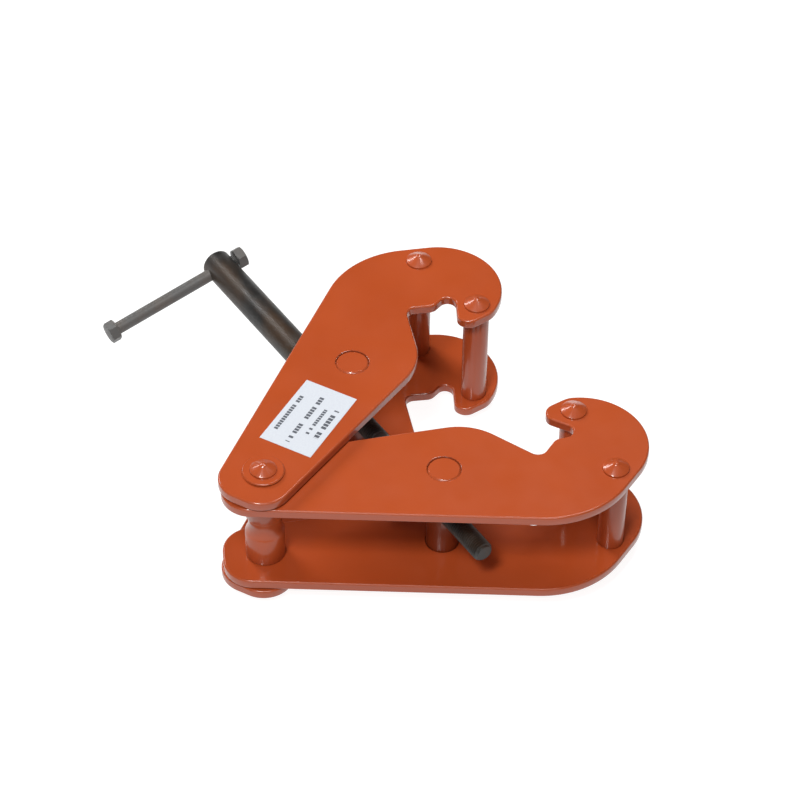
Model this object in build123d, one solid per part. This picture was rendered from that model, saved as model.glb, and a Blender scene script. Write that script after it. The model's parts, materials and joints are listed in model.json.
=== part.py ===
"""Two-jaw beam clamp, lying on its side with the jaws part open.

Millimetres.  The origin is the middle of the load bar, where both jaws pivot.
+Z runs along the load bar, and +X points midway between the jaws, towards the beam.
Each jaw is drawn first in arm coordinates: the pivot at the origin, the trunnion
on +X, and +Y towards the other jaw.
"""
import os
from math import atan2, cos, degrees, radians, sin

from build123d import *

# Jaw plates, in arm coordinates
PLATE = 8.0
PLATE_EDGE = 1.0
ARM = 134.0
# Corners the jaw's straight edges would meet at, each with its rounding
JAW = [
    ((-32.2, 24.4), 23.0),  # blunt end about the pivot
    ((-32.2, -27.0), 23.0),
    ((240.3, -62.2), 72.0),  # shoulder
    ((342.4, 67.5), 49.5),  # heel
    ((235.7, 67.5), 18.0),  # brow, where the nose starts to fall away
    ((216.6, 57.8), 10.0),  # nose, on top
    ((217.0, 46.9), 7.5),  # nose, underneath
    ((246.4, 28.7), 6.4),  # round notch
    ((220.6, 24.3), 9.0),  # tooth
    ((207.4, 6.2), 7.5),  # valley
    ((159.9, 46.3), 46.0),  # belly
]
NOSE_ROD_AT = (238.3, 52.6)
HEEL_ROD_AT = (261.0, -10.8)

# How the jaws stand
OPENING_DEG = 55.7
INNER_ARM_DEG = -OPENING_DEG / 2
OUTER_ARM_DEG = OPENING_DEG / 2
INNER_GAP = 69.0
PLATE_PLAY = 1.0
INNER_FACE = INNER_GAP / 2 + PLATE
OUTER_INSIDE = INNER_FACE + PLATE_PLAY
OUTER_FACE = OUTER_INSIDE + PLATE

# Tie rods, and the cone each one ends in
ROD_R = 10.0
CONE_RIM = 1.3
CONE_RISE = 5.2
CONE_TIP_R = 0.8

# Load bar and its washers
BAR_R = 15.0
BAR_JOURNAL_R = 10.0
WAIST_DEPTH = 2.6
WAIST_LENGTH = 20.0
BAR_CHAMFER = 0.8
RUN_CLEARANCE = 0.05
WASHER_R = 15.8
WASHER_THICK = 2.0
WASHER_CHAMFER = 0.9
WASHER_PLAY = 0.3

# Trunnion nuts
TRUNNION_R = 12.5
TRUNNION_CHAMFER = 1.3
TRUNNION_HOLE_CHAMFER = 0.6
THREAD_R = 8.0

# Spindle: distances from the outer trunnion, positive towards the inner trunnion
TIP_AT = 180.0
SHOULDER_STOP_AT = -57.0
HANDLE_AT = -196.0
HEAD_END_AT = -206.0
HEAD_R = 12.0
HEAD_CHAMFER = 2.2
TIP_CHAMFER = 2.0
NECK_R = 6.5
NECK_LENGTH = 6.0
STOP_WASHER_R = 14.0
STOP_WASHER_THICK = 3.0

# Sliding handle: an M10 hexagon bolt and nut
HANDLE_R = 5.0
HANDLE_HOLE_R = 5.06
HANDLE_TILT_DEG = 10.0
HEX_FLATS = 16.0
HEX_HEAD = 8.0
HEX_NUT = 8.0
NUT_FROM_AXIS = 13.8
HEAD_FROM_AXIS = 100.0
BOLT_END_FROM_AXIS = 22.4

# Rating label on the outer jaw's top plate
LABEL_SIZE = (70.5, 43.5)
LABEL_AT = (64.8, 1.2)
LABEL_THICK = 0.2


def arm_point(arm_deg, side, point, z=0.0):
    """Turn arm coordinates into the frame; side is +1 for the inner jaw, -1 for the outer."""
    along, across = point
    turn = radians(arm_deg)
    x = along * cos(turn) - side * across * sin(turn)
    y = along * sin(turn) + side * across * cos(turn)
    return (x, y, z)


def inner(point, z=0.0):
    return arm_point(INNER_ARM_DEG, 1, point, z)


def outer(point, z=0.0):
    return arm_point(OUTER_ARM_DEG, -1, point, z)


INNER_TRUNNION = Vector(*inner((ARM, 0)))
OUTER_TRUNNION = Vector(*outer((ARM, 0)))
SPINDLE_DIR = (INNER_TRUNNION - OUTER_TRUNNION).normalized()


def save(name, shape):
    shape.label = name
    export_step(shape, f"parts/{name}.step")


def jaw_outline():
    """The flat jaw shape: a widening arm that ends in a hooked nose over a toothed mouth."""
    outline = Polygon(*[corner for corner, radius in JAW], align=None)
    for corner, radius in JAW:
        outline = fillet(outline.vertices().sort_by_distance(corner)[0], radius)
    return outline


def jaw_plate(pivot_hole_r):
    """One plate lying on Z = 0, with its pivot, trunnion and tie rod holes."""
    plate = extrude(jaw_outline(), amount=PLATE)
    rims = plate.edges().filter_by(lambda e: abs(e.center().Z) < 0.01 or abs(e.center().Z - PLATE) < 0.01)
    plate = chamfer(rims, PLATE_EDGE)
    holes = [
        ((0, 0), pivot_hole_r),
        ((ARM, 0), TRUNNION_R + RUN_CLEARANCE),
        (NOSE_ROD_AT, ROD_R),
        (HEEL_ROD_AT, ROD_R),
    ]
    for (x, y), radius in holes:
        plate -= Pos(x, y, PLATE / 2) * Cylinder(radius, PLATE * 2)
    trunnion_rims = plate.edges().filter_by(GeomType.CIRCLE).filter_by(
        lambda e: abs(e.radius - TRUNNION_R - RUN_CLEARANCE) < 0.001
    )
    return chamfer(trunnion_rims, TRUNNION_HOLE_CHAMFER)


def place_plate(plate, arm_deg, side, low_z):
    """Turn the plate to its arm; the outer jaw is the inner one's mirror image."""
    if side < 0:
        plate = mirror(plate, about=Plane.XZ)
    return Pos(0, 0, low_z) * Rot(0, 0, arm_deg) * plate


def make_plates():
    inner_plate = jaw_plate(BAR_JOURNAL_R)
    outer_plate = jaw_plate(BAR_JOURNAL_R + RUN_CLEARANCE)
    levels = {"top": 1, "bottom": -1}
    for word, up in levels.items():
        inner_low = INNER_GAP / 2 if up > 0 else -INNER_FACE
        outer_low = OUTER_INSIDE if up > 0 else -OUTER_FACE
        save(f"inner_jaw_plate_{word}", place_plate(inner_plate, INNER_ARM_DEG, 1, inner_low))
        save(f"outer_jaw_plate_{word}", place_plate(outer_plate, OUTER_ARM_DEG, -1, outer_low))


def cone_end(face_z):
    """Half profile of the upper end of a pin above face_z: a short rim, then a blunt cone."""
    rim_z = face_z + CONE_RIM
    return [(ROD_R, rim_z), (CONE_TIP_R, rim_z + CONE_RISE - 0.3), (0, rim_z + CONE_RISE)]


def both_ends(half):
    """Mirror a half profile below Z = 0 and spin it round Z."""
    low = [(r, -z) for r, z in reversed(half)]
    points = [Vector(r, 0, z) for r, z in low + half]
    return revolve(make_face(Polyline(*points, close=True)), axis=Axis.Z)


def tie_rod(face_z):
    return both_ends([(ROD_R, face_z)] + cone_end(face_z))


def make_rods():
    rods = {"nose_rod": NOSE_ROD_AT, "heel_rod": HEEL_ROD_AT}
    for name, at in rods.items():
        save(f"inner_{name}", Pos(*inner(at)) * tie_rod(INNER_FACE))
        save(f"outer_{name}", Pos(*outer(at)) * tie_rod(OUTER_FACE))


def load_bar():
    """Round bar with a hollowed waist for the hook and thinner journals through the plates."""
    seat = INNER_GAP / 2
    half = [
        (BAR_R, seat - BAR_CHAMFER),
        (BAR_R - BAR_CHAMFER, seat),
        (BAR_JOURNAL_R, seat),
        (BAR_JOURNAL_R, OUTER_FACE + WASHER_PLAY + WASHER_THICK),
    ]
    bar = both_ends(half + cone_end(OUTER_FACE + WASHER_PLAY + WASHER_THICK))
    waist_r = (WAIST_LENGTH**2 / 4 + WAIST_DEPTH**2) / (2 * WAIST_DEPTH)
    groove = Pos(BAR_R - WAIST_DEPTH + waist_r, 0, 0) * Rot(90, 0, 0) * Circle(waist_r)
    return bar - revolve(groove, axis=Axis.Z)


def ring(outer_r, inner_r, thick, edge):
    """Flat washer centred on the origin, its rims chamfered."""
    washer = Cylinder(outer_r, thick) - Cylinder(inner_r, thick * 2)
    rims = washer.edges().filter_by(GeomType.CIRCLE).filter_by(lambda e: e.radius > inner_r + 0.1)
    return chamfer(rims, edge)


def make_pivot():
    save("load_bar", load_bar())
    washer = ring(WASHER_R, BAR_JOURNAL_R, WASHER_THICK, WASHER_CHAMFER)
    level = OUTER_FACE + WASHER_PLAY + WASHER_THICK / 2
    save("pivot_washer_top", Pos(0, 0, level) * washer)
    save("pivot_washer_bottom", Pos(0, 0, -level) * washer)


def trunnion(length):
    """Round cross nut with its ends flush with the plates and a threaded hole across it."""
    nut = Cylinder(TRUNNION_R, length)
    nut = chamfer(nut.edges().filter_by(GeomType.CIRCLE), TRUNNION_CHAMFER)
    return nut - Rot(0, 90, 0) * Cylinder(THREAD_R + RUN_CLEARANCE, TRUNNION_R * 3)


def make_trunnions():
    along = degrees(atan2(SPINDLE_DIR.Y, SPINDLE_DIR.X))
    save("inner_trunnion", Pos(INNER_TRUNNION) * Rot(0, 0, along) * trunnion(INNER_FACE * 2))
    save("outer_trunnion", Pos(OUTER_TRUNNION) * Rot(0, 0, along) * trunnion(OUTER_FACE * 2))


def spindle_plane(distance):
    """Plane square to the spindle at a distance from the outer trunnion, its X level."""
    across = SPINDLE_DIR.cross(Vector(0, 0, 1)) * -1
    return Plane(OUTER_TRUNNION + SPINDLE_DIR * distance, x_dir=across, z_dir=SPINDLE_DIR)


def handle_plane():
    """Plane at the handle's hole, its Z along the handle from hexagon head to nut."""
    base = spindle_plane(HANDLE_AT)
    tilt = radians(HANDLE_TILT_DEG)
    along = base.x_dir * cos(tilt) + Vector(0, 0, 1) * sin(tilt)
    return Plane(base.origin, x_dir=SPINDLE_DIR, z_dir=along)


def spindle():
    """Thick plain head with the handle's hole, a thin neck for the washer, then the thread."""
    neck_end = SHOULDER_STOP_AT + NECK_LENGTH
    profile = [
        (0, HEAD_END_AT),
        (HEAD_R - HEAD_CHAMFER, HEAD_END_AT),
        (HEAD_R, HEAD_END_AT + HEAD_CHAMFER),
        (HEAD_R, SHOULDER_STOP_AT - 1.0),
        (HEAD_R - 1.0, SHOULDER_STOP_AT),
        (NECK_R, SHOULDER_STOP_AT),
        (NECK_R, neck_end),
        (THREAD_R, neck_end + THREAD_R - NECK_R),
        (THREAD_R, TIP_AT - TIP_CHAMFER),
        (THREAD_R - TIP_CHAMFER, TIP_AT),
        (0, TIP_AT),
    ]
    points = [Vector(r, 0, z) for r, z in profile]
    rod = revolve(make_face(Polyline(*points, close=True)), axis=Axis.Z)
    return spindle_plane(0) * rod - handle_plane() * Cylinder(HANDLE_HOLE_R, HEAD_R * 3)


def make_spindle():
    save("spindle", spindle())
    washer = ring(STOP_WASHER_R, NECK_R + RUN_CLEARANCE, STOP_WASHER_THICK, 0.4)
    middle = SHOULDER_STOP_AT + STOP_WASHER_THICK / 2 + 0.3
    save("stop_washer", spindle_plane(middle) * washer)


def hexagon(height):
    """Hexagon block standing on Z = 0, its corners turned off at both ends."""
    block = extrude(RegularPolygon(HEX_FLATS / 2, 6, major_radius=False), amount=height)
    corner_r = HEX_FLATS / 2 / cos(radians(30))
    turned = Pos(0, 0, height / 2) * Cylinder(corner_r, height)
    turned = chamfer(turned.edges().filter_by(GeomType.CIRCLE), 0.5, 1.0)
    return block & turned


def make_handle():
    place = handle_plane()
    shank = HEAD_FROM_AXIS + BOLT_END_FROM_AXIS
    rod = Cylinder(HANDLE_R, shank, align=(Align.CENTER, Align.CENTER, Align.MIN))
    rod = chamfer(rod.edges().filter_by(GeomType.CIRCLE).sort_by(Axis.Z)[-1], 0.8)
    head = Pos(0, 0, -HEX_HEAD) * hexagon(HEX_HEAD)
    save("handle_bolt", place * Pos(0, 0, -HEAD_FROM_AXIS) * (rod + head))
    nut = hexagon(HEX_NUT) - Cylinder(HANDLE_R, HEX_NUT * 4)
    save("handle_nut", place * Pos(0, 0, NUT_FROM_AXIS) * Rot(0, 0, 17) * nut)


def make_label():
    x, y, z = outer(LABEL_AT, OUTER_FACE + LABEL_THICK / 2)
    label = Box(LABEL_SIZE[0], LABEL_SIZE[1], LABEL_THICK)
    save("rating_label", Pos(x, y, z) * Rot(0, 0, OUTER_ARM_DEG) * label)


def main():
    os.makedirs("parts", exist_ok=True)
    make_plates()
    make_rods()
    make_pivot()
    make_trunnions()
    make_spindle()
    make_handle()
    make_label()


main()
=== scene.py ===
"""Looks for the beam clamp: enamelled jaws, a blackened screw and handle, and a plain studio.

Metres, in the frame of the solids: the load bar stands along Z at the origin, +X points
midway between the jaws, and the screw lies along Y with its handle at the high end.
"""
import json
from math import atan2, cos, pi, radians, sin, sqrt

import bmesh
import bpy
from mathutils import Matrix, Vector


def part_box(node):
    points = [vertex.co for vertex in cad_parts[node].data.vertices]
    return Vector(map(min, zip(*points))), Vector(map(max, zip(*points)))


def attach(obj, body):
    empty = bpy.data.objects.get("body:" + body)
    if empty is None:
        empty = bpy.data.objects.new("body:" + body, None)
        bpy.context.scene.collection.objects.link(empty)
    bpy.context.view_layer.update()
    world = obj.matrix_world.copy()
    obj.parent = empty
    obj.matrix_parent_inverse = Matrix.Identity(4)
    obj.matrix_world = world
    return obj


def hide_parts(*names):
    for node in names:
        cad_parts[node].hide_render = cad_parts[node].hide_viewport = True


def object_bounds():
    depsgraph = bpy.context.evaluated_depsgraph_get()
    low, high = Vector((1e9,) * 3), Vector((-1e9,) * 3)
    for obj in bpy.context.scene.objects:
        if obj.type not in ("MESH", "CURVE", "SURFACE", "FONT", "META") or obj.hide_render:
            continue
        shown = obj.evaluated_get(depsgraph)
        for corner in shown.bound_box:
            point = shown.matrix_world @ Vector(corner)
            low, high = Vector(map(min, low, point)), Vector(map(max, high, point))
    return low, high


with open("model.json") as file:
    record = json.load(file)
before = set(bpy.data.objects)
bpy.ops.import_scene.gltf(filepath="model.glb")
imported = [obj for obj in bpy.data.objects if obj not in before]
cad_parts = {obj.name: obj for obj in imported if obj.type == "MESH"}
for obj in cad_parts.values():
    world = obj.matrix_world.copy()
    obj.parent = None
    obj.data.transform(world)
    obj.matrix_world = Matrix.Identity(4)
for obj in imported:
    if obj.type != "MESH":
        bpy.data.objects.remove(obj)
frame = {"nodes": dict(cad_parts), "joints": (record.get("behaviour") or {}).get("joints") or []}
cad_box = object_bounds()

MM = 0.001
ROUND_SIDES = 72
SMOOTH_BELOW = radians(32)  # an edge that turns by more than this stays sharp

# Threads: metric coarse for a 16 mm screw and a 10 mm bolt
SCREW_PITCH = 2.0 * MM
BOLT_PITCH = 1.5 * MM
THREAD_DEPTH = 0.6134  # of the pitch
# Flat at the root, flank, flat at the crest, flank: where each starts, as a share of the pitch
THREAD_STEPS = [(0.0, 0), (0.25, 0), (0.5625, 1), (0.6875, 1)]

# Left-hand and right-hand threads, measured from the outer trunnion towards the tip
LEFT_THREAD = (-51 * MM, 40 * MM)
RIGHT_THREAD_FROM = 85 * MM
PLAIN_BELOW_CREST = 0.2 * MM
RUN_OUT = 0.6  # how fast the groove gets shallow at the end of a thread, as a slope
SCREW_END_CHAMFER = 2 * MM
SCREW_TURNED_ARRIS = 0.3 * MM
HEAD_CHAMFER = 2.2 * MM
SHOULDER_CHAMFER = 1 * MM
NECK_LENGTH = 6.1 * MM
BOLT_THREAD_LENGTH = 30 * MM
BOLT_END_CHAMFER = 0.8 * MM
HANDLE_HOLE_GAP = 0.06 * MM
NUT_TURN = radians(17)
NUT_BORE_OVERLAP = 0.4 * MM
HEXAGON_CORNER_CUT = 1.15  # of the corner's height over the flats
HEXAGON_CORNER_DEPTH = 0.6  # of the same, along the axis
OVERLAP = 1 * MM  # how far neighbouring turned pieces run into each other

# Tips of the pointed tie rods and load bar: the swelling ends at the first ring of the
# solid's vertices past this radius
POINT_BLUNT = 2 * MM
POINT_PROUD = 0.02 * MM
POINT_RINGS = 20
POINT_FLANK = 0.42
POINT_SHOULDER = 0.86
SHOULDER_BEND = (0.64, 0.78)  # where the flank turns into the shoulder, as a share of the radius

# Finish
PLATE_ROUNDING = 0.42 * MM
ROD_ROUNDING = 0.3 * MM
WELD_WITHIN = 0.02 * MM
FLAT_WITHIN = radians(0.5)
ROUND_ABOVE = radians(28)
DRAG_LINE_DEPTH = 0.05 * MM
COAT = 0.7
SHADED_GROOVE = (12.5 * MM, 13.3 * MM)  # round each trunnion, where the plates are darkened as painted shade
SHADED_GROOVE_BLUR = 0.3 * MM

# Label print: middle across the label, start and end along it, block height and block pitch
LABEL_ROWS = [
    (-15.0 * MM, -16 * MM, 17 * MM, 4.0 * MM, 3.4 * MM),
    (-7.2 * MM, -15 * MM, 14 * MM, 2.8 * MM, 2.5 * MM),
    (1.6 * MM, -29 * MM, 27 * MM, 3.6 * MM, 2.9 * MM),
    (16.0 * MM, -22 * MM, 19 * MM, 3.2 * MM, 2.7 * MM),
]
BLOCK_FILL = 0.76  # of the pitch
BLOCKS_LEFT_OUT = 0.16  # of all blocks

# White floor: it looks burnt out and is mirrored bright, but lights the clamp from below by less
FLOOR_GLOW = 0.56
FLOOR_GLOW_MIRRORED = 0.83
FLOOR_GLOW_SEEN = 0.92
FLOOR_HALF_SIDE = 3.0

# Room round the floor: pale to look at, but almost dark as a light
ROOM_GLOW = 0.02
ROOM_GLOW_SEEN = 0.9

# Camera: where it aims, and how it stands from there
CAMERA_AIM = Vector((0.1558, 0.0521, 0.0))
CAMERA_DISTANCE = 2.3806
CAMERA_AZIMUTH = radians(-34.155)
CAMERA_ELEVATION = radians(44.28)
CAMERA_ROLL = radians(0.858)
CAMERA_LENS = 137.84

joints = {joint["name"]: joint for joint in frame["joints"]}
nodes = frame["nodes"]


# ---------------------------------------------------------------- node materials


def add(tree, kind, inputs=None, **settings):
    """New shader node; an input is a value, or another node's socket to link from."""
    node = tree.nodes.new(kind)
    for name, value in settings.items():
        setattr(node, name, value)
    for name, value in (inputs or {}).items():
        if isinstance(value, bpy.types.NodeSocket):
            tree.links.new(value, node.inputs[name])
        else:
            node.inputs[name].default_value = value
    return node


def new_material(name, **sockets):
    """Material with a Principled shader, whose even values are set on its own sockets."""
    material = bpy.data.materials.new(name)
    material.use_nodes = True
    tree = material.node_tree
    shader = next(n for n in tree.nodes if n.type == "BSDF_PRINCIPLED")
    for socket, value in sockets.items():
        shader.inputs[socket.replace("_", " ")].default_value = value
    return material, tree, shader


def place_of(tree, stretch=(1, 1, 1)):
    """Point on the piece in the row frame, stretched along each axis."""
    point = add(tree, "ShaderNodeTexCoord").outputs["Object"]
    return add(tree, "ShaderNodeMapping", {"Vector": point, "Scale": stretch}).outputs["Vector"]


def noise(tree, point, per_metre, detail=2.0, roughness=0.5):
    inputs = {"Vector": point, "Scale": per_metre, "Detail": detail, "Roughness": roughness}
    return add(tree, "ShaderNodeTexNoise", inputs).outputs["Fac"]


def between(tree, value, low, high, to_low=0.0, to_high=1.0):
    """Value taken from the range low..high to to_low..to_high, held at the ends."""
    inputs = {"Value": value, "From Min": low, "From Max": high, "To Min": to_low, "To Max": to_high}
    return add(tree, "ShaderNodeMapRange", inputs).outputs["Result"]


def maths(tree, operation, first, second=0.0):
    node = add(tree, "ShaderNodeMath", {0: first, 1: second}, operation=operation)
    return node.outputs["Value"]


def blend(tree, share, first, second):
    """Mix of two colours, each a colour or a socket."""
    node = add(tree, "ShaderNodeMix", data_type="RGBA")
    for index, value in ((0, share), (6, first), (7, second)):
        if isinstance(value, bpy.types.NodeSocket):
            tree.links.new(value, node.inputs[index])
        else:
            node.inputs[index].default_value = value
    return node.outputs[2]


def bump(tree, height, depth, below=None):
    inputs = {"Height": height, "Strength": 1.0, "Distance": depth}
    if below is not None:
        inputs["Normal"] = below
    return add(tree, "ShaderNodeBump", inputs).outputs["Normal"]


def steepness(tree):
    """0 on level faces, 1 on upright ones."""
    normal = add(tree, "ShaderNodeNewGeometry").outputs["Normal"]
    up = add(tree, "ShaderNodeSeparateXYZ", {0: normal}).outputs["Z"]
    return maths(tree, "SUBTRACT", 1.0, maths(tree, "ABSOLUTE", up))


def groove_shade_share(tree, centre):
    """1 in the groove round a trunnion that stands at centre, where painted shade goes, 0 elsewhere."""
    flat = place_of(tree, (1, 1, 0))
    spot = (centre[0], centre[1], 0)
    away = add(tree, "ShaderNodeVectorMath", {0: flat, 1: spot}, operation="DISTANCE").outputs["Value"]
    inner, outer = SHADED_GROOVE
    outside_inner = between(tree, away, inner - SHADED_GROOVE_BLUR, inner)
    return maths(tree, "MULTIPLY", outside_inner, between(tree, away, outer, outer - SHADED_GROOVE_BLUR))


def enamel_colour(tree, point, steep):
    """Orange-red in two close shades, with dust, a painted highlight on the rims and painted shade in the
    grooves round the trunnions.
    """
    patches = noise(tree, point, 16, detail=3)
    dust = between(tree, noise(tree, point, 900, detail=3, roughness=0.7), 0.66, 0.74)
    # Painted highlight: faces between level and upright, the rounded rims, are lightened towards a pale
    # orange.
    rim = maths(tree, "MULTIPLY", between(tree, steep, 0.1, 0.25), between(tree, steep, 0.8, 0.6))
    shade = between(tree, patches, 0.35, 0.65)
    colour = blend(tree, shade, (0.385, 0.062, 0.014, 1), (0.41, 0.068, 0.016, 1))
    colour = blend(tree, maths(tree, "MULTIPLY", dust, 0.10), colour, (0.5, 0.22, 0.14, 1))
    colour = blend(tree, maths(tree, "MULTIPLY", rim, 0.18), colour, (0.5, 0.12, 0.05, 1))
    # Painted shade: a dark ring on the plates round each trunnion, in the groove where its hole meets it.
    for trunnion in ("inner_trunnion_pivot", "outer_trunnion_pivot"):
        groove_shade = groove_shade_share(tree, joints[trunnion]["pos_m"])
        colour = blend(tree, maths(tree, "MULTIPLY", groove_shade, 0.6), colour, (0.1, 0.016, 0.005, 1))
    return colour


def enamel(name, drag_lines, upright_coat):
    """Glossy orange-red enamel: a faint orange peel, slow waves, dust, a painted highlight on the rims and
    painted shade round the trunnions.

    drag_lines is the depth of the flame-cut lines that show through on upright faces, and
    upright_coat is how much of the gloss those faces keep.
    """
    sockets = {"Coat_Roughness": 0.085, "Coat_IOR": 1.5, "Specular_IOR_Level": 0.3}
    material, tree, shader = new_material(name, **sockets)
    point = place_of(tree)
    steep = steepness(tree)
    peel = noise(tree, point, 520, detail=1)
    waves = noise(tree, point, 45, detail=2)
    tree.links.new(enamel_colour(tree, point, steep), shader.inputs["Base Color"])
    tree.links.new(between(tree, steep, 0, 1, COAT, COAT * upright_coat), shader.inputs["Coat Weight"])
    tree.links.new(between(tree, waves, 0.3, 0.7, 0.30, 0.42), shader.inputs["Roughness"])
    normal = bump(tree, waves, 0.10 * MM)
    normal = bump(tree, peel, 0.012 * MM, normal)
    if drag_lines:
        cut = noise(tree, place_of(tree, (1, 1, 0.06)), 650, detail=2)
        cut = maths(tree, "MULTIPLY", cut, between(tree, steep, 0.5, 0.9))
        normal = bump(tree, cut, drag_lines, normal)
    tree.links.new(normal, shader.inputs["Normal"])
    coat = bump(tree, waves, 0.07 * MM)
    tree.links.new(bump(tree, peel, 0.006 * MM, coat), shader.inputs["Coat Normal"])
    return material


def blackened(name, dark, brown, gloss):
    """Oiled black oxide on turned steel: mottled, browner in patches, with fine lay lines."""
    material, tree, shader = new_material(name, Specular_IOR_Level=0.5)
    point = place_of(tree)
    mottle = noise(tree, point, 130, detail=5, roughness=0.65)
    blotch = noise(tree, place_of(tree, (1, 0.35, 1)), 55, detail=3)
    lay = noise(tree, place_of(tree, (0.15, 6, 0.15)), 500, detail=2)
    colour = blend(tree, between(tree, blotch, 0.42, 0.62), dark, brown)
    colour = blend(tree, between(tree, mottle, 0.48, 0.75, 0, 0.4), colour, (0.06, 0.055, 0.05, 1))
    tree.links.new(colour, shader.inputs["Base Color"])
    tree.links.new(between(tree, mottle, 0.3, 0.7, gloss - 0.07, gloss + 0.1), shader.inputs["Roughness"])
    normal = bump(tree, mottle, 0.05 * MM)
    tree.links.new(bump(tree, lay, 0.01 * MM, normal), shader.inputs["Normal"])
    return material


def label_vinyl():
    """Off-white vinyl with four rows of plain grey blocks where a rating would be printed."""
    material, tree, shader = new_material("label_vinyl", Specular_IOR_Level=0.35)
    low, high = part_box("rating_label")
    centre = (low + high) / 2
    trunnion = Vector(joints["outer_trunnion_pivot"]["pos_m"])
    turn = atan2(trunnion.y, trunnion.x)
    point = add(tree, "ShaderNodeTexCoord").outputs["Object"]
    inputs = {"Vector": point, "Location": centre, "Rotation": (0, 0, turn)}
    flat = add(tree, "ShaderNodeMapping", inputs, vector_type="TEXTURE").outputs["Vector"]
    axes = add(tree, "ShaderNodeSeparateXYZ", {0: flat})
    along, across = axes.outputs["X"], axes.outputs["Y"]
    ink = None
    for middle, start, end, tall, wide in LABEL_ROWS:
        row = within(tree, across, middle - tall / 2, middle + tall / 2)
        row = maths(tree, "MULTIPLY", row, within(tree, along, start, end))
        row = maths(tree, "MULTIPLY", row, blocks(tree, along, wide, middle))
        ink = row if ink is None else maths(tree, "MAXIMUM", ink, row)
    grain = noise(tree, flat, 700, detail=3)
    paper = blend(tree, between(tree, grain, 0.3, 0.7), (0.555, 0.58, 0.63, 1), (0.59, 0.62, 0.66, 1))
    faded = maths(tree, "MULTIPLY", ink, between(tree, grain, 0.3, 0.7, 0.85, 0.97))
    tree.links.new(blend(tree, faded, paper, (0.05, 0.055, 0.07, 1)), shader.inputs["Base Color"])
    tree.links.new(between(tree, grain, 0.3, 0.7, 0.38, 0.5), shader.inputs["Roughness"])
    tree.links.new(bump(tree, grain, 0.01 * MM), shader.inputs["Normal"])
    return material


def within(tree, value, low, high):
    """1 where the value lies from low to high."""
    above = maths(tree, "GREATER_THAN", value, low)
    return maths(tree, "MULTIPLY", above, maths(tree, "LESS_THAN", value, high))


def blocks(tree, along, pitch, seed):
    """Row of plain blocks, some left out so that they group like words."""
    step = maths(tree, "DIVIDE", maths(tree, "ADD", along, 0.1), pitch)
    filled = maths(tree, "LESS_THAN", maths(tree, "FRACT", step), BLOCK_FILL)
    count = maths(tree, "ADD", maths(tree, "FLOOR", step), seed / MM)
    chance = add(tree, "ShaderNodeTexWhiteNoise", {"W": count}, noise_dimensions="1D").outputs["Value"]
    return maths(tree, "MULTIPLY", filled, maths(tree, "GREATER_THAN", chance, BLOCKS_LEFT_OUT))


# ---------------------------------------------------------------- CAD pieces that stay


def paint_nodes(names, material):
    for name in names:
        piece = nodes[name]
        piece.data.materials.clear()
        piece.data.materials.append(material)


def soften(name, width):
    """Rounds a CAD piece's sharp edges a little, as paint does, once its flat faces are whole."""
    piece = nodes[name]
    weld = piece.modifiers.new("weld", "WELD")
    weld.merge_threshold = WELD_WITHIN
    flats = piece.modifiers.new("flats", "DECIMATE")
    flats.decimate_type = "DISSOLVE"
    flats.angle_limit = FLAT_WITHIN
    bevel = piece.modifiers.new("rounding", "BEVEL")
    bevel.width = width
    bevel.segments = 3
    bevel.limit_method = "ANGLE"
    bevel.angle_limit = ROUND_ABOVE
    bevel.harden_normals = True


# ---------------------------------------------------------------- turned and threaded pieces


def put(name, data):
    """New object in the scene."""
    thing = bpy.data.objects.new(name, data)
    bpy.context.scene.collection.objects.link(thing)
    return thing


def mesh_of(name, shape, place):
    """Mesh that shape() builds along its own Z, with its vertices then put in place."""
    maker = bmesh.new()
    shape(maker)
    bmesh.ops.recalc_face_normals(maker, faces=maker.faces)
    mesh = bpy.data.meshes.new(name)
    maker.to_mesh(mesh)
    maker.free()
    mesh.transform(place)
    return mesh


def new_piece(name, shape, place, material, body, stands_for=()):
    """Smooth-shaded piece that rides on a body, and stands for CAD nodes if any are named."""
    mesh = mesh_of(name, shape, place)
    mesh.materials.append(material)
    for face in mesh.polygons:
        face.use_smooth = True
    mesh.set_sharp_from_angle(angle=SMOOTH_BELOW)
    piece = put(name, mesh)
    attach(piece, body)
    if stands_for:
        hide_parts(*stands_for)
    return piece


def lathe(maker, profile, flats=None):
    """Turns a profile of (radius, height) about Z, cut to a hexagon if flats is given.

    A profile that starts and ends on the axis makes a solid; any other is closed into a ring.
    """
    rings = []
    for radius, height in profile:
        if radius == 0:
            rings.append([maker.verts.new((0, 0, height))])
            continue
        ring = []
        for i in range(ROUND_SIDES):
            turn = 2 * pi * i / ROUND_SIDES
            here = min(radius, hexagon_radius(turn, flats)) if flats and radius > flats / 3 else radius
            ring.append(maker.verts.new((here * cos(turn), here * sin(turn), height)))
        rings.append(ring)
    uppers = rings[1:] if profile[0][0] == 0 else rings[1:] + rings[:1]
    for lower, upper in zip(rings, uppers):
        for i in range(ROUND_SIDES):
            j = (i + 1) % ROUND_SIDES
            below = [lower[i % len(lower)], lower[j % len(lower)]]
            above = [upper[j % len(upper)], upper[i % len(upper)]]
            maker.faces.new(dict.fromkeys(below + above))


def hexagon_radius(turn, flats):
    """How far a hexagon reaches from its middle in one direction."""
    off_flat = (turn + pi / 6) % (pi / 3) - pi / 6
    return flats / 2 / cos(off_flat)


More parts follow.
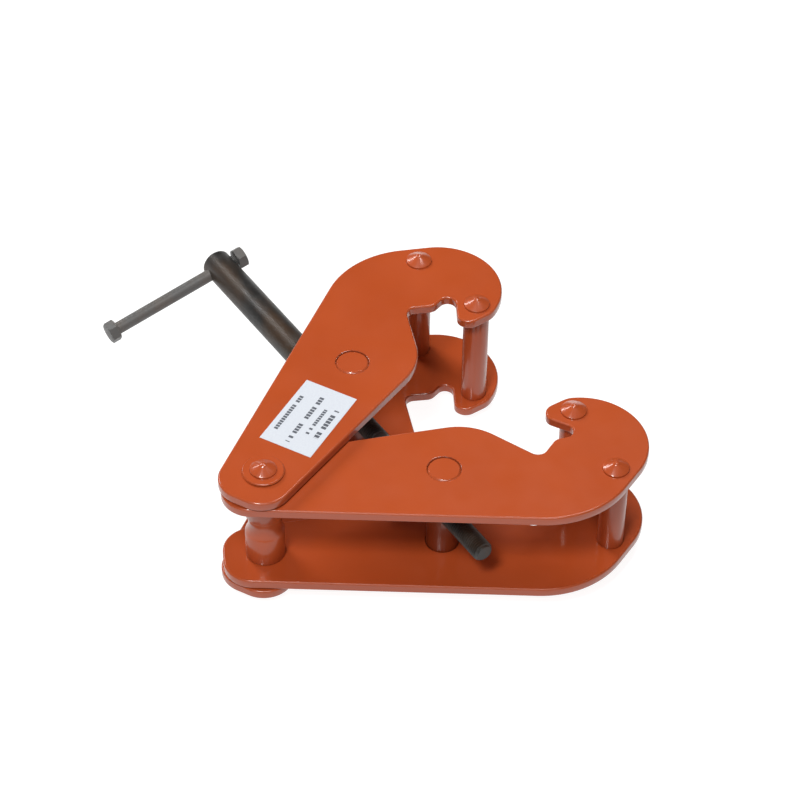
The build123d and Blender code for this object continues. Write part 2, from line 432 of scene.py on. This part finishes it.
def threaded(maker, start, end, crest, pitch, hand, nip):
    """Threaded rod along Z from start to end, both ends cut square.

    hand is +1 for a right-hand thread and -1 for a left-hand one.  nip(height) gives the
    most that the radius can be there, and the least that the groove's bottom can be.
    """
    root = crest - THREAD_DEPTH * pitch
    steps = len(THREAD_STEPS)
    first = int(start / pitch) - 3
    last = int(end / pitch) + 3
    rows = []
    for turn in range(first, last):
        for share, high in THREAD_STEPS:
            row = []
            for i in range(ROUND_SIDES):
                height = (turn + share + hand * i / ROUND_SIDES) * pitch
                most, least = nip(height)
                radius = min(max(crest if high else root, least), most)
                angle = 2 * pi * i / ROUND_SIDES
                row.append(maker.verts.new((radius * cos(angle), radius * sin(angle), height)))
            rows.append(row)
    for k in range(len(rows) - 1):
        for i in range(ROUND_SIDES - 1):
            maker.faces.new((rows[k][i], rows[k][i + 1], rows[k + 1][i + 1], rows[k + 1][i]))
        ahead = k + steps * hand
        if 0 <= ahead < len(rows) - 1:
            maker.faces.new((rows[k][-1], rows[ahead][0], rows[ahead + 1][0], rows[k + 1][-1]))
    for height, way in ((start, 1), (end, -1)):
        everything = list(maker.verts) + list(maker.edges) + list(maker.faces)
        cut = bmesh.ops.bisect_plane(
            maker, geom=everything, plane_co=(0, 0, height), plane_no=(0, 0, way), clear_inner=True
        )
        rim = [item for item in cut["geom_cut"] if isinstance(item, bmesh.types.BMEdge)]
        bmesh.ops.edgeloop_fill(maker, edges=rim)


def along_screw():
    """Place with its Z along the screw towards the tip, starting at the outer trunnion."""
    start = Vector(joints["spindle_spin"]["pos_m"])
    handle_end = Vector(joints["spindle_spin"]["axis"])
    turn = Vector((0, 0, 1)).rotation_difference(-handle_end).to_matrix().to_4x4()
    return Matrix.Translation(start) @ turn


def along_handle():
    """Place with its Z along the handle from its head to its nut, starting at the screw's axis."""
    axis = Vector(joints["handle_slide"]["axis"])
    low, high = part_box("handle_nut")
    middle = (low + high) / 2
    screw_x = Vector(joints["spindle_spin"]["pos_m"]).x
    centre = middle + axis * ((screw_x - middle.x) / axis.x)
    turn = Vector((0, 0, 1)).rotation_difference(axis).to_matrix().to_4x4()
    return Matrix.Translation(centre) @ turn


def profile_of(name, place):
    """Radius and height of every vertex of a CAD piece, about the Z of a place."""
    back = place.inverted()
    points = [back @ vertex.co for vertex in nodes[name].data.vertices]
    return [(sqrt(p.x**2 + p.y**2), p.z) for p in points]


def widest(points, low, high):
    """Largest radius from one height to another."""
    return max(radius for radius, height in points if low <= height <= high)


def handle_radius():
    """Radius of the handle's rod, measured at its nut end."""
    points = profile_of("handle_bolt", along_handle())
    end = max(height for radius, height in points)
    return widest(points, end - 2 * MM, end)


def make_tips(name, body, material):
    """Swells both tips of an upright pin a little; the rest of its points stay plain cones."""
    low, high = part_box(name)
    points = profile_of(name, Matrix.Translation((low + high) / 2))
    tip = max(height for radius, height in points)
    rim = max(height for radius, height in points if radius > POINT_BLUNT)
    edge = widest(points, rim - 0.1 * MM, rim + 0.1 * MM) + POINT_PROUD

    falls = [0]
    for step in range(POINT_RINGS):
        bend = ((step + 0.5) / POINT_RINGS - SHOULDER_BEND[0]) / (SHOULDER_BEND[1] - SHOULDER_BEND[0])
        slope = POINT_FLANK + (POINT_SHOULDER - POINT_FLANK) * min(max(bend, 0), 1)
        falls.append(falls[-1] + slope)

    def point(maker):
        profile = [(0, rim - OVERLAP), (edge, rim - OVERLAP)]
        for step in range(POINT_RINGS, -1, -1):
            height = tip - (tip - rim) * falls[step] / falls[-1]
            profile.append((edge * step / POINT_RINGS, height))
        lathe(maker, profile)

    for end, tilt in (("top", 0), ("bottom", pi)):
        place = Matrix.Translation((low + high) / 2) @ Matrix.Rotation(tilt, 4, "X")
        new_piece(f"{name}_point_{end}", point, place, material, body)


def make_screw(material):
    """Spindle: a plain head with a cross hole, a neck, and a thread of each hand."""
    place = along_screw()
    points = profile_of("spindle", place)
    heights = [height for radius, height in points]
    start, tip = min(heights), max(heights)
    crest = widest(points, 0, tip)
    head = widest(points, start, start + 20 * MM)
    rim = max(height for radius, height in points if radius > head - 0.1 * MM)
    shoulder = rim + SHOULDER_CHAMFER
    neck = widest(points, shoulder + 2 * MM, shoulder + NECK_LENGTH)
    plain = crest - PLAIN_BELOW_CREST
    left_from, left_to = LEFT_THREAD
    arris = SCREW_TURNED_ARRIS

    def head_and_neck(maker):
        profile = [
            (0, start),
            (head - HEAD_CHAMFER - arris, start),
            (head - HEAD_CHAMFER, start + arris / 3),
            (head - arris, start + HEAD_CHAMFER - arris),
            (head, start + HEAD_CHAMFER + arris),
            (head, rim),
            (head - SHOULDER_CHAMFER, shoulder),
            (neck, shoulder),
            (neck, left_from + OVERLAP / 2),
            (0, left_from + OVERLAP / 2),
        ]
        lathe(maker, profile)

    def left_nip(height):
        return neck + max(height - left_from, 0), crest - max(left_to - SCREW_PITCH - height, 0) * RUN_OUT

    def left_thread(maker):
        threaded(maker, left_from, left_to, crest, SCREW_PITCH, -1, left_nip)

    def middle(maker):
        profile = [
            (0, left_to - OVERLAP),
            (plain, left_to - OVERLAP),
            (plain, RIGHT_THREAD_FROM + OVERLAP),
            (0, RIGHT_THREAD_FROM + OVERLAP),
        ]
        lathe(maker, profile)

    def right_nip(height):
        most = min(crest, crest - SCREW_END_CHAMFER + max(tip - height, 0))
        return most, crest - max(height - RIGHT_THREAD_FROM - SCREW_PITCH, 0) * RUN_OUT

    def right_thread(maker):
        threaded(maker, RIGHT_THREAD_FROM, tip, crest, SCREW_PITCH, 1, right_nip)

    piece = new_piece("screw_head", head_and_neck, place, material, "spindle", ["spindle"])
    drill_for_handle(piece)
    new_piece("screw_left_thread", left_thread, place, material, "spindle")
    new_piece("screw_plain_middle", middle, place, material, "spindle")
    new_piece("screw_right_thread", right_thread, place, material, "spindle")


def drill_for_handle(piece):
    """Cuts the handle's cross hole through the screw's head."""
    radius = handle_radius() + HANDLE_HOLE_GAP
    reach = 30 * MM

    def rod(maker):
        lathe(maker, [(0, -reach), (radius, -reach), (radius, reach), (0, reach)])

    drill = put("handle_hole", mesh_of("handle_hole", rod, along_handle()))
    cut = piece.modifiers.new("handle_hole", "BOOLEAN")
    cut.object = drill
    cut.operation = "DIFFERENCE"
    cut.solver = "EXACT"
    bpy.context.view_layer.update()
    solid = piece.evaluated_get(bpy.context.evaluated_depsgraph_get())
    piece.data = bpy.data.meshes.new_from_object(solid)
    piece.modifiers.clear()
    piece.data.set_sharp_from_angle(angle=SMOOTH_BELOW)
    bpy.data.objects.remove(drill)


def hexagon(low, high, flats, hole):
    """Profile of a hexagon block whose corners are turned off at both ends."""
    corner = flats / 2 / cos(pi / 6)
    cut = corner - flats / 2
    rise = []
    for step in (0, 0.25, 0.5, 0.75, 1):
        radius = corner - cut * HEXAGON_CORNER_CUT * (1 - step)
        rise.append((radius, low + cut * HEXAGON_CORNER_DEPTH * step))
    fall = [(radius, low + high - height) for radius, height in reversed(rise)]
    if hole:
        return [(hole, low)] + rise + fall + [(hole, high)]
    return [(0, low)] + rise + fall + [(0, high)]


def make_handle(material):
    """Handle: a hexagon-headed bolt, threaded where its nut sits, and the nut."""
    place = along_handle()
    bolt = profile_of("handle_bolt", place)
    nut = profile_of("handle_nut", place)
    rod = handle_radius()
    bolt_from, bolt_to = min(h for r, h in bolt), max(h for r, h in bolt)
    nut_from, nut_to = min(h for r, h in nut), max(h for r, h in nut)
    head_to = max(h for r, h in bolt if r > rod + 1 * MM)
    flats = 2 * widest(bolt, bolt_from, head_to) * cos(pi / 6)
    thread_from = bolt_to - BOLT_THREAD_LENGTH

    def head(maker):
        lathe(maker, hexagon(bolt_from, head_to, flats, 0), flats)

    def shank(maker):
        end = thread_from + OVERLAP
        lathe(maker, [(0, head_to - OVERLAP), (rod, head_to - OVERLAP), (rod, end), (0, end)])

    def nip(height):
        most = min(rod, rod - BOLT_END_CHAMFER + max(bolt_to - height, 0))
        return most, rod - max(height - thread_from - BOLT_PITCH, 0) * RUN_OUT

    def thread(maker):
        threaded(maker, thread_from, bolt_to, rod, BOLT_PITCH, 1, nip)

    def nut_shape(maker):
        lathe(maker, hexagon(nut_from, nut_to, flats, rod - NUT_BORE_OVERLAP), flats)

    new_piece("handle_head", head, place, material, "handle", ["handle_bolt"])
    new_piece("handle_shank", shank, place, material, "handle")
    new_piece("handle_thread", thread, place, material, "handle")
    turn = place @ Matrix.Rotation(NUT_TURN, 4, "Z")
    new_piece("handle_nut_turned", nut_shape, turn, material, "handle", ["handle_nut"])


# ---------------------------------------------------------------- studio


def make_floor():
    """Plain white floor at the clamp's lowest point; it glows by itself, as an overlit sweep does."""
    level = cad_box[0].z
    half = FLOOR_HALF_SIDE
    mesh = bpy.data.meshes.new("floor")
    corners = [(-half, -half), (half, -half), (half, half), (-half, half)]
    mesh.from_pydata([(x, y, level) for x, y in corners], [], [(0, 1, 2, 3)])
    material, tree, shader = new_material("lit_floor", Roughness=0.9, Specular_IOR_Level=0.2)
    shader.inputs["Emission Color"].default_value = (1, 1, 1, 1)
    path = add(tree, "ShaderNodeLightPath")
    glow = between(tree, path.outputs["Is Glossy Ray"], 0, 1, FLOOR_GLOW, FLOOR_GLOW_MIRRORED)
    glow = between(tree, path.outputs["Is Camera Ray"], 0, 1, glow, FLOOR_GLOW_SEEN)
    tree.links.new(glow, shader.inputs["Emission Strength"])
    grain = noise(tree, place_of(tree), 40, detail=3)
    grey = blend(tree, grain, (0.22, 0.22, 0.22, 1), (0.24, 0.24, 0.24, 1))
    tree.links.new(grey, shader.inputs["Base Color"])
    mesh.materials.append(material)
    put("floor", mesh)


def direction(azimuth, elevation):
    """From the object towards a place round it; azimuth 0 is on the -Y side."""
    level = cos(elevation)
    return Vector((sin(azimuth) * level, -cos(azimuth) * level, sin(elevation)))


def soft_box(name, azimuth, elevation, distance, size, power, lights="all"):
    """Rectangular lamp that faces the camera's aim; azimuth in degrees is from the camera's own.

    lights is "all", "surfaces" for a lamp that gloss doesn't mirror, or "gloss" for the reverse.
    """
    light = bpy.data.lights.new(name, "AREA")
    light.shape = "RECTANGLE"
    light.size, light.size_y = size
    light.energy = power
    lamp = put(name, light)
    back = direction(CAMERA_AZIMUTH + radians(azimuth), radians(elevation))
    lamp.location = CAMERA_AIM + back * distance
    lamp.rotation_mode = "QUATERNION"
    lamp.rotation_quaternion = back.to_track_quat("Z", "Y")
    lamp.visible_glossy = lights != "surfaces"
    lamp.visible_diffuse = lights != "gloss"


def make_world():
    """Pale room that hardly lights the clamp, so that the lamps shape it."""
    world = bpy.data.worlds.new("studio")
    world.use_nodes = True
    tree = world.node_tree
    background = next(n for n in tree.nodes if n.type == "BACKGROUND")
    background.inputs["Color"].default_value = (1, 1, 1, 1)
    seen = add(tree, "ShaderNodeLightPath").outputs["Is Camera Ray"]
    tree.links.new(between(tree, seen, 0, 1, ROOM_GLOW, ROOM_GLOW_SEEN), background.inputs["Strength"])
    bpy.context.scene.world = world


def make_camera():
    back = direction(CAMERA_AZIMUTH, CAMERA_ELEVATION)
    data = bpy.data.cameras.new("camera")
    data.lens = CAMERA_LENS
    camera = put("camera", data)
    level = back.to_track_quat("Z", "Y").to_matrix().to_4x4()
    roll = Matrix.Rotation(CAMERA_ROLL, 4, "Z")
    camera.matrix_world = Matrix.Translation(CAMERA_AIM + back * CAMERA_DISTANCE) @ level @ roll
    bpy.context.scene.camera = camera


def make_studio():
    make_world()
    make_floor()
    soft_box("back_left", 222, 35, 2.4, (0.9, 0.9), 35.5, lights="surfaces")
    soft_box("back_left_glint", 227, 35, 2.4, (0.35, 0.9), 14, lights="gloss")
    soft_box("front", 340, 56, 2.6, (0.5, 0.5), 41)
    soft_box("front_strip", 0, 46, 2.0, (1.2, 0.2), 6)
    soft_box("right", 125, 72, 1.3, (0.4, 0.4), 7.5)
    bpy.context.scene.view_settings.view_transform = "Standard"


# ---------------------------------------------------------------- the clamp

PLATES = [f"{jaw}_jaw_plate_{level}" for jaw in ("inner", "outer") for level in ("top", "bottom")]
RODS = [f"{jaw}_{rod}_rod" for jaw in ("inner", "outer") for rod in ("nose", "heel")]
TURNED = RODS + ["load_bar", "pivot_washer_top", "pivot_washer_bottom", "inner_trunnion", "outer_trunnion"]


def dress_jaws():
    paint_nodes(PLATES, enamel("enamel_on_plate", DRAG_LINE_DEPTH, 1.0))
    bar_paint = enamel("enamel_on_bar", 0, 0.75)
    paint_nodes(TURNED, bar_paint)
    for name in RODS + ["load_bar"]:
        body = "outer_jaw" if name.startswith("outer") else "inner_jaw"
        make_tips(name, body, bar_paint)
    for name in PLATES:
        soften(name, PLATE_ROUNDING)
    for name in TURNED:
        soften(name, ROD_ROUNDING)
    paint_nodes(["rating_label"], label_vinyl())


def dress_screw():
    screw_steel = blackened("blackened_screw", (0.018, 0.017, 0.016, 1), (0.042, 0.024, 0.013, 1), 0.44)
    handle_steel = blackened("blackened_handle", (0.1, 0.098, 0.095, 1), (0.11, 0.097, 0.087, 1), 0.43)
    paint_nodes(["spindle", "stop_washer"], screw_steel)
    paint_nodes(["handle_bolt", "handle_nut"], handle_steel)
    make_screw(screw_steel)
    make_handle(handle_steel)


make_camera()
make_studio()
dress_jaws()
dress_screw()
